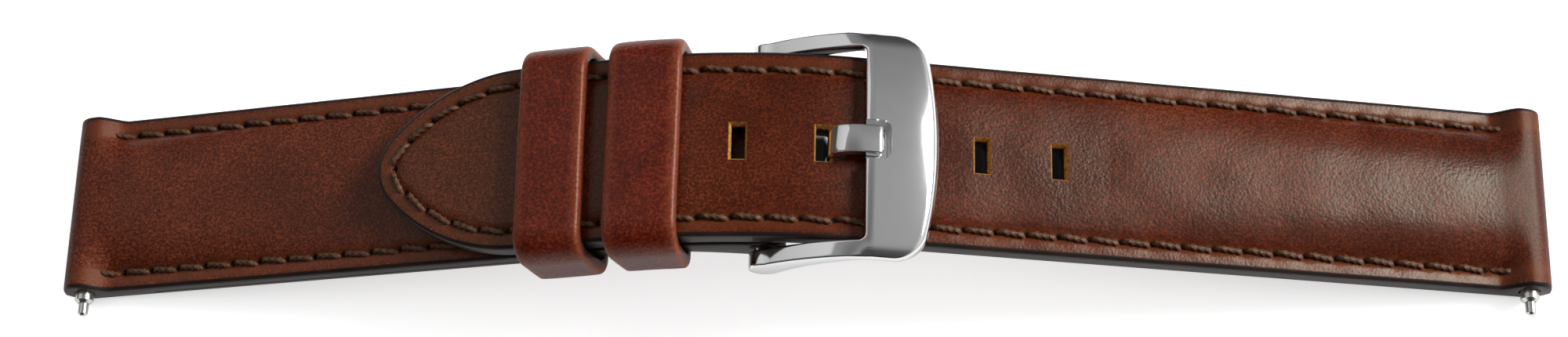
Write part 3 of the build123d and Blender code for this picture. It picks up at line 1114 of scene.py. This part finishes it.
def keeper(name, station, gap_below, gap_above, seed):
    """A closed leather band round both halves."""
    inside_height = long_base + 2.6 - short_base + gap_below + gap_above
    walk = loop_walk(keeper_inside, inside_height, keeper_low_corner, keeper_top_corner)
    section = strip_section()
    middle = short_base - gap_below + inside_height / 2

    def spot(column, row):
        y, z, out_y, out_z = walk[row % len(walk)]
        share, depth = section[column % len(section)]
        uneven = noise.noise(Vector((y * 0.25 + seed, z * 0.3, share * 1.2))) * 0.06
        crush = noise.noise(Vector((y * 0.09 + seed, 4.0, 1.0))) * 0.12
        reach = keeper_thickness * depth + uneven * (depth > 0.3)
        if depth > 0.5:
            reach += keeper_swell * (1 - (2 * share - 1) ** 4)
            reach -= join_depth * (abs(y - join_place) < walk_step and z < 0)
        place = station + keeper_width * share + crush
        point = strap_spot(place, middle + z + out_z * reach, y + out_y * reach)
        return point, (share * keeper_width, depth), False

    return folded_grid(name, len(section), len(walk), spot, "strip_map")


fixed_band = keeper("fixed_band", -21.8, 0.0, 0.1, 3.0)
free_band = keeper("free_band", -30.6, 0.2, 0.2, 11.0)

# %% [markdown]
# The keepers are cut from a redder, glossier piece of the same hide. Its grain is finer, and
# the wax is rubbed off along the two long edges. Painted shade darkens the inner face and the
# lower sides almost to black, where they face the strap.

# %% Keeper leather finish
keeper_leather, tree, shader = new_finish(
    "band_leather", 0.34, Specular_IOR_Level=0.25, Specular_Tint=(1.0, 0.96, 0.82),
)
strip_across, strip_depth = map_parts(tree, "strip_map")
base = ramp(tree, noise_field(tree, 240.0, 5.0, 0.65), [
    (0.3, (0.098, 0.0085, 0.0028)), (0.52, (0.136, 0.0125, 0.0040)),
    (0.72, (0.180, 0.021, 0.0070)),
])
fine = noise_field(tree, 3600.0, 4.0, 0.65)
mottle = ramp(tree, fine, [
    (0.38, (0.55, 0.45, 0.4)), (0.5, (0.95, 0.92, 0.9)), (0.63, (1.75, 2.3, 2.4)),
])
colour = blend_colours(tree, 1.0, base, mottle, "MULTIPLY")
half_band = keeper_width / 2
off = arithmetic(tree, "ABSOLUTE", arithmetic(tree, "SUBTRACT", strip_across, half_band))
worn = arithmetic(tree, "MULTIPLY", remap(tree, off, half_band - 1.3, half_band - 0.15), fine)
colour = blend_colours(tree, worn, colour, (0.30, 0.075, 0.032))
# Painted shade: the colour fades almost to black from the lower sides to the inner face, which lies
# against the strap.
inside = remap(tree, strip_depth, 0.1, 0.75, 0.9, 0.0)
colour = blend_colours(tree, inside, colour, (0.022, 0.009, 0.006))
join(tree, colour, shader, "Base Color")
creases = noise_field(tree, 1900.0, 3.0, 0.6)
bump(tree, shader, [(creases, 0.000028), (cell_field(tree, 4200.0, 0.6), -0.000014)])
for piece in (fixed_band, free_band):
    piece.data.materials.append(keeper_leather)
print("made", keeper_leather.name)

# %% [markdown]
# ## The buckle frame
# The frame is one bent piece: two arms that rise from the sprung bar and a broad front bar
# that bows outwards. It is built like a strap section that walks round the U: each row joins a
# point of the inner edge with a point of the outer edge, and the columns run round the metal.
# Polishing rounds its edges: crisp on the arms, softer along the front.
# Seen from the side, the arms follow one line above and one below. The bar's ends drop a
# little, so each line has a version for the middle and one for the ends.

# %% Side view of the frame
eye_radius = 1.55
bar_front = 0.85
bar_nose = 7.7
bar_low = 3.05
bar_top = 5.0
arm_points = 90
nose_points = 60
eye_spot = strap_spot(bar_station, bar_height, 0) / mm
eye_x, eye_z = eye_spot.x, eye_spot.z
foot_turn = math.radians(30)
eye_foot = (eye_x + eye_radius * math.sin(foot_turn), eye_z - eye_radius * math.cos(foot_turn))


def side_view(station, height):
    spot = strap_spot(station, height, 0) / mm
    return spot.x, spot.z


def bowed(start, end, rise):
    """Points of a shallow arc between two points of the side view."""
    run, climb = end[0] - start[0], end[1] - start[1]
    length = math.hypot(run, climb)
    points = []
    for k in range(arm_points + 1):
        share = k / arm_points
        lift = rise * 4 * share * (1 - share) / length
        x, z = start[0] + run * share, start[1] + climb * share
        points.append((x - lift * climb, z + lift * run))
    return points


def top_line(crest_drop, nose_drop):
    """The upper line: an arc up the arm, then level over the bar and down at its nose."""
    start, crest, nose = bar_front + 0.15, bar_top - crest_drop, bar_top - 0.4 - nose_drop
    points = bowed((eye_x, eye_z + eye_radius), side_view(start, crest), 0.65)
    for k in range(1, nose_points + 1):
        share = k / nose_points
        height = crest + (nose - crest) * share**6
        points.append(side_view(start + (bar_nose - start) * share, height))
    return points


def low_line(drop):
    foot = side_view(bar_front, bar_low - drop)
    return bowed(eye_foot, foot, 0.75) + [side_view(bar_nose + 1, bar_low - drop)]


top_middle, top_ends = top_line(0, 0), top_line(0.9, 0.35)
low_middle, low_ends = low_line(0), low_line(0.35)
print("the arm's upper line has", len(top_middle), "points")

# %% Plan of the frame
bar_bow = 1.6
frame_inside = 9.35
frame_outside = 10.95
frame_corner = 3.4
window_corner = 0.6
inner_x = side_view(bar_front, bar_low)[0]
front_x = side_view(bar_nose, bar_low)[0]
front_bow = bar_bow * math.cos(right_slope)
front_radius = (frame_outside**2 + front_bow**2) / (2 * front_bow)
front_centre = front_x - front_radius
corner_y = frame_outside - frame_corner
corner_x = front_centre + math.sqrt((front_radius - frame_corner) ** 2 - corner_y**2)
corner_swing = math.atan2(corner_y, corner_x - front_centre)


def frame_levels(x, y):
    """Top and low surface of the frame over a point of its plan."""
    share = (y / frame_outside) ** 2
    top = table_value(top_middle, x) * (1 - share) + table_value(top_ends, x) * share
    low = table_value(low_middle, x) * (1 - share) + table_value(low_ends, x) * share
    on_bar = clamped((x - inner_x + 1.5) / 1.5)
    top -= on_bar * 0.5 * (max(abs(y) - 9.2, 0) / 1.75) ** 2
    eye_rise = math.sqrt(max(eye_radius**2 - (x - eye_x) ** 2, 0))
    if x < eye_x:
        top = eye_z + eye_rise
    if x < eye_foot[0]:
        low = eye_z - eye_rise
    return top, low


print("the bar reaches from", round(inner_x, 2), "to", round(front_x, 2), "mm")

# %% Rows round the frame
inner_round = 0.22
bar_round = 0.62


def near_frame_rows():
    """(inner point, outer point, rounding) from the end of the near arm to the bar's middle."""
    start = inner_x - window_corner
    arm = [eye_x - eye_radius * math.cos(math.pi / 2 * k / 8) for k in range(9)]
    arm += [eye_x + (start - eye_x) * k / 16 for k in range(1, 17)]
    rows = [((x, -frame_inside), (x, -frame_outside), inner_round) for x in arm]
    straight = corner_x - start
    whole = straight + frame_corner * (math.pi / 2 - corner_swing)
    for k in range(1, 21):
        share = k / 20
        turn = math.pi / 2 * share
        inner = (start + window_corner * math.sin(turn),
                 -frame_inside + window_corner * (1 - math.cos(turn)))
        walk = whole * share
        outer = (start + walk, -frame_outside)
        if walk >= straight:
            swing = (walk - straight) / frame_corner
            outer = (corner_x + frame_corner * math.sin(swing),
                     -corner_y - frame_corner * math.cos(swing))
        growth = (bar_round - inner_round) * max(2 * share - 1, 0)
        rows.append((inner, outer, inner_round + growth))
    inner_y, outer_y = frame_inside - window_corner, -rows[-1][1][1]
    for k in range(1, 41):
        share = 1 - k / 40
        y = -outer_y * share
        x = front_centre + math.sqrt(front_radius**2 - y**2)
        rows.append(((inner_x, -inner_y * share), (x, y), bar_round))
    return rows


near_rows = near_frame_rows()
far_rows = [((a[0], -a[1]), (b[0], -b[1]), size) for a, b, size in reversed(near_rows[:-1])]
frame_rows = near_rows + far_rows
print("rows round the frame", len(frame_rows))

# %% Body of the frame
low_round = 0.3
rounding_turns = [math.radians(turn) for turn in range(0, 91, 15)]
flat_shares = [k / 24 for k in range(1, 24)]
frame_marks = [("outer", "top", turn) for turn in rounding_turns]
frame_marks += [("middle", "top", share) for share in flat_shares]
frame_marks += [("inner", "top", turn) for turn in reversed(rounding_turns)]
frame_marks += [("inner", "low", turn) for turn in rounding_turns]
frame_marks += [("middle", "low", share) for share in reversed(flat_shares)]
frame_marks += [("outer", "low", turn) for turn in reversed(rounding_turns)]


def frame_point(column, number):
    inner, outer, outer_round = frame_rows[number]
    place, level, value = frame_marks[column % len(frame_marks)]
    width = math.dist(inner, outer)
    top, low = frame_levels(*outer)
    room = (top - low) * 0.45
    first = min(outer_round if level == "top" else low_round, room)
    last = min(inner_round if level == "top" else low_round, room)
    across, inset = first + (width - first - last) * value, 0
    if place == "outer":
        across, inset = first * (1 - math.cos(value)), first * (1 - math.sin(value))
    elif place == "inner":
        across, inset = width - last * (1 - math.cos(value)), last * (1 - math.sin(value))
    share = across / width
    x = outer[0] + (inner[0] - outer[0]) * share
    y = outer[1] + (inner[1] - outer[1]) * share
    top, low = frame_levels(x, y)
    return Vector((x, y, top - inset if level == "top" else low + inset)) * mm, None, False


frame_piece = folded_grid("frame_metal", len(frame_marks), len(frame_rows) - 1, frame_point)

# %% [markdown]
# ## Steel
# The buckle frame and the tang are polished. The spring bars are plainer drawn steel with fine
# rings round them. Polished steel shows what is round it, so most of its look comes from the
# lights: only a faint unevenness and very fine scratches are added here.

# %% Steel finishes
def steel_finish(name, colour, roughness, scratch_scale, scratch_depth, stretch):
    material, tree, shader = new_finish(name, roughness, Metallic=1.0)
    drift = noise_field(tree, 300.0, 2.0)
    tint = ramp(tree, drift, [(0.3, tuple(0.96 * part for part in colour)), (0.7, colour)])
    join(tree, tint, shader, "Base Color")
    drawn = texture(tree, "ShaderNodeMapping", {"Scale": stretch})
    scratches = add(tree, "ShaderNodeTexNoise", {"Scale": scratch_scale, "Detail": 2.0})
    join(tree, (drawn, "Vector"), scratches, "Vector")
    fine = (scratches, "Fac")
    shine = remap(tree, fine, 0.3, 0.7, roughness * 0.93, roughness * 1.07, "LINEAR")
    join(tree, shine, shader, "Roughness")
    if scratch_depth:
        bump(tree, shader, [(fine, scratch_depth)])
    return material


polished_steel = steel_finish("mirror_steel", (0.80, 0.80, 0.80), 0.09, 900.0, 0, (1, 1, 1))
bar_steel = steel_finish("drawn_steel", (0.66, 0.65, 0.63), 0.24, 400.0, 0.000004, (1, 8, 1))
coil_steel = steel_finish("coil_steel", (0.48, 0.48, 0.5), 0.3, 900.0, 0.000004, (1, 1, 1))


def refinish(node, material):
    """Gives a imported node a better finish, in its own material slots."""
    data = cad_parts[node].data
    for place in range(len(data.materials)):
        data.materials[place] = material


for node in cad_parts:
    if node in ("buckle_frame", "buckle_tang"):
        refinish(node, polished_steel)
    elif node.endswith("_spring"):
        refinish(node, coil_steel)
    elif node.endswith(("_barrel", "_tip")):
        refinish(node, bar_steel)
print("steel finishes set")

# %% [markdown]
# The tang lies in a U-shaped notch that is milled into the inner side of the bar, and the
# notch's rim is broken with a small bevel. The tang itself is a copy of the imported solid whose
# sharp edges are rounded, because its curl round the bar is already exact there.

# %% Notch for the tang
notch_width = 3.8
notch_length = 1.95
notch_round = 0.9
notch_floor = bar_top - 1.15


def notch_cutter(mesh):
    length = notch_length + cut_reach
    inward = Matrix.Translation(((notch_length - length / 2) * mm, 0, length / 2 * mm))
    place = strap_frame(bar_front, notch_floor, 0) @ inward
    block_cutter(mesh, place, length, notch_width, length)
    up = place.col[2].xyz.normalized()
    upright = []
    for edge in mesh.edges:
        along = (edge.verts[0].co - edge.verts[1].co).normalized()
        if abs(along.dot(up)) > 0.9:
            upright.append(edge)
    bmesh.ops.bevel(
        mesh, geom=upright, offset=notch_round * mm, segments=7, profile=0.5,
        affect="EDGES", material=-1,
    )


frame_piece.data.materials.append(polished_steel)
cut(frame_piece, notch_cutter, polished_steel)
rim = frame_piece.modifiers.new("rim", "BEVEL")
rim.width = 0.12 * mm
rim.segments = 3
rim.limit_method = "ANGLE"
rim.angle_limit = math.radians(50)

# %% Tang with broken edges
sharp_turn = math.radians(40)
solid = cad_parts["buckle_tang"]
mesh = bmesh.new()
mesh.from_mesh(solid.data)
mesh.transform(solid.matrix_world)
bmesh.ops.remove_doubles(mesh, verts=mesh.verts, dist=1e-6)
bmesh.ops.dissolve_limit(mesh, angle_limit=math.radians(1), verts=mesh.verts, edges=mesh.edges)
sharp = [
    edge for edge in mesh.edges
    if len(edge.link_faces) == 2 and edge.calc_face_angle() > sharp_turn
]
bmesh.ops.bevel(
    mesh, geom=sharp, offset=0.14 * mm, segments=3, profile=0.5, affect="EDGES", material=-1,
)
bmesh.ops.triangulate(mesh, faces=[face for face in mesh.faces if len(face.verts) > 4])
tang_piece = smooth_piece("tang_metal", mesh)
tang_piece.data.set_sharp_from_angle(angle=math.radians(50))
tang_piece.data.materials.append(polished_steel)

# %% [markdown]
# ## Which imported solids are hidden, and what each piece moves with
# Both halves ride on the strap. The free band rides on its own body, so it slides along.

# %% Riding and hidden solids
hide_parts("long_top_leather", "long_padding")
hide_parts("long_lining")
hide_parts("short_top_leather", "short_padding")
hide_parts("short_lining")
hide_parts("long_seam_thread")
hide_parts("short_seam_thread")
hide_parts("fixed_keeper")
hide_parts("free_keeper")
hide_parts("buckle_frame")
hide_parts("buckle_tang")
for piece, slot in (
    (long_leather, "strap_leather"), (short_half, "strap_leather"),
    (long_lining, "lining_leather"), (short_lining, "lining_leather"),
    (long_thread, "stitch_thread"), (short_thread, "stitch_thread"),
    (fixed_band, "keeper_leather"),
):
    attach(piece, "strap")
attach(frame_piece, "buckle")
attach(tang_piece, "tang")
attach(free_band, "free_keeper")
print("ten pieces ride on their bodies")

# %% [markdown]
# ## Table, light and camera
# The strap stands on its two lug ends on a white table. One large soft lamp at the right and
# behind gives the pale band along the crown of the long half and the bright edge of the
# buckle. The left half turns away from it and stays dark, as in the photograph.
# The table glows by itself for the camera, so that it is white there. Its colour carries
# painted shade where the strap is near. In a strip under the punched holes, a painted shadow
# darkens it to black, so that the holes look deep and dark.

# %% Table
strip_near, strip_far = (-0.003, 0.001), (0.0075, 0.0095)
strip_middle = 0.008
strip_ends = (0.040, 0.055)
camera_glow = 0.9
mirror_glow = 0.4
table_reach = 1.5
table_mesh = bmesh.new()
bmesh.ops.create_grid(table_mesh, x_segments=1, y_segments=1, size=table_reach)
table_data = bpy.data.meshes.new("table")
table_mesh.to_mesh(table_data)
table_mesh.free()
table = add_object("table", table_data)

white = bpy.data.materials.new("white_table")
white.use_nodes = True
tree = white.node_tree
tree.nodes.clear()
matt, glow = add(tree, "ShaderNodeBsdfDiffuse"), add(tree, "ShaderNodeEmission")
# Painted shade: an occlusion node darkens the table's colour near the strap. Inside the strip under
# the holes, the painted shadow goes to black. The glow carries the same shade.
near_by = (add(tree, "ShaderNodeAmbientOcclusion", {"Distance": 0.06}, samples=16), "AO")
black_painted_shade = ramp(tree, near_by, [(0.74, 0.004), (0.88, 0.4), (0.97, 0.92)])
soft_painted_shade = ramp(tree, near_by, [(0.25, 0.55), (0.55, 0.84), (0.75, 0.92)])
ground = texture(tree, "ShaderNodeSeparateXYZ", {})
under = arithmetic(
    tree, "MULTIPLY", remap(tree, (ground, "Y"), *strip_near),
    remap(tree, (ground, "Y"), *strip_far, 1.0, 0.0),
)
inward = arithmetic(tree, "ABSOLUTE", arithmetic(tree, "SUBTRACT", (ground, "X"), strip_middle))
under = arithmetic(tree, "MULTIPLY", under, remap(tree, inward, *strip_ends, 1.0, 0.0))
shade = blend_colours(tree, under, soft_painted_shade, black_painted_shade)
join(tree, shade, matt, "Color")
join(tree, shade, glow, "Color")
rays = add(tree, "ShaderNodeLightPath")
direct = arithmetic(tree, "MULTIPLY", (rays, "Is Camera Ray"), camera_glow)
mirrored = arithmetic(tree, "MULTIPLY", (rays, "Is Glossy Ray"), mirror_glow)
join(tree, arithmetic(tree, "MAXIMUM", direct, mirrored), glow, "Strength")
both = add(tree, "ShaderNodeAddShader")
join(tree, (matt, "BSDF"), both, 0)
join(tree, (glow, "Emission"), both, 1)
join(tree, (both, "Shader"), add(tree, "ShaderNodeOutputMaterial"), "Surface")
table_data.materials.append(white)
print("table", 2 * table_reach, "m wide")

# %% [markdown]
# The sky is a grey gradient that is dimmer in front, with a glow at the right. The steel and
# the waxed leather mirror it.

# %% Lamps and sky
def soft_lamp(name, place, target, size, power):
    """A rectangular soft lamp that faces a target."""
    lamp = bpy.data.lights.new(name, "AREA")
    lamp.shape = "RECTANGLE"
    lamp.size, lamp.size_y = size
    lamp.energy = power
    holder = add_object(name, lamp)
    holder.location = place
    aim = Vector(target) - Vector(place)
    holder.rotation_euler = aim.to_track_quat("-Z", "Y").to_euler()
    print(name, round(aim.length, 2), "m away,", power, "W")


soft_lamp("right_softbox", (0.77, 0.27, 0.61), (0.03, 0, 0.01), (0.40, 0.46), 9.2)
soft_lamp("left_fill", (-0.75, 0.5, 0.85), (-0.02, 0, 0.01), (1.0, 1.0), 1.3)

world = bpy.data.worlds.new("studio")
bpy.context.scene.world = world
world.use_nodes = True
sky = world.node_tree
background = sky.nodes["Background"]
parts = add(sky, "ShaderNodeSeparateXYZ")
join(sky, (add(sky, "ShaderNodeTexCoord"), "Generated"), parts, "Vector")
shade = ramp(sky, (parts, "Z"), [
    (0.0, 0.05), (0.35, 0.09), (0.65, 0.22), (0.87, 0.31), (0.93, 0.28), (1.0, 0.18),
])
front = remap(sky, (parts, "Y"), -0.62, -0.38, 0.3, 1.0)
side = arithmetic(
    sky, "MULTIPLY", remap(sky, (parts, "X"), 0.35, 0.8, 0.0, 0.6),
    remap(sky, (parts, "Z"), -0.05, 0.05),
)
level = arithmetic(sky, "ADD", arithmetic(sky, "MULTIPLY", shade, front), side)
background.inputs["Color"].default_value = (1, 1, 1, 1)
join(sky, level, background, "Strength")

# %% [markdown]
# The camera looks down steeply from in front. Its place comes from matching the strap's ends,
# holes and edges with the photograph. A camera looks straight down at first. It is turned
# sideways, then up from the ground, then rolled.

# %% Camera
lens_px = 3321.6
picture_px = 2000
eye = Vector((17.77, -80.77, 244.0)) * mm
turns = ((12.571, "Z"), (90 - 70.296, "X"), (-12.124, "Z"))
camera_data = bpy.data.cameras.new("camera")
camera_data.sensor_width = 36
camera_data.lens = lens_px / picture_px * camera_data.sensor_width
camera_data.clip_start = 0.01
camera = add_object("camera", camera_data)
stance = Matrix.Translation(eye)
for turn, axis in turns:
    stance = stance @ Matrix.Rotation(math.radians(turn), 4, axis)
camera.matrix_world = stance
bpy.context.scene.camera = camera
bpy.context.scene.view_settings.view_transform = "Standard"
print("lens", round(camera_data.lens, 2), "mm")

# %% Finish
print("scene built")
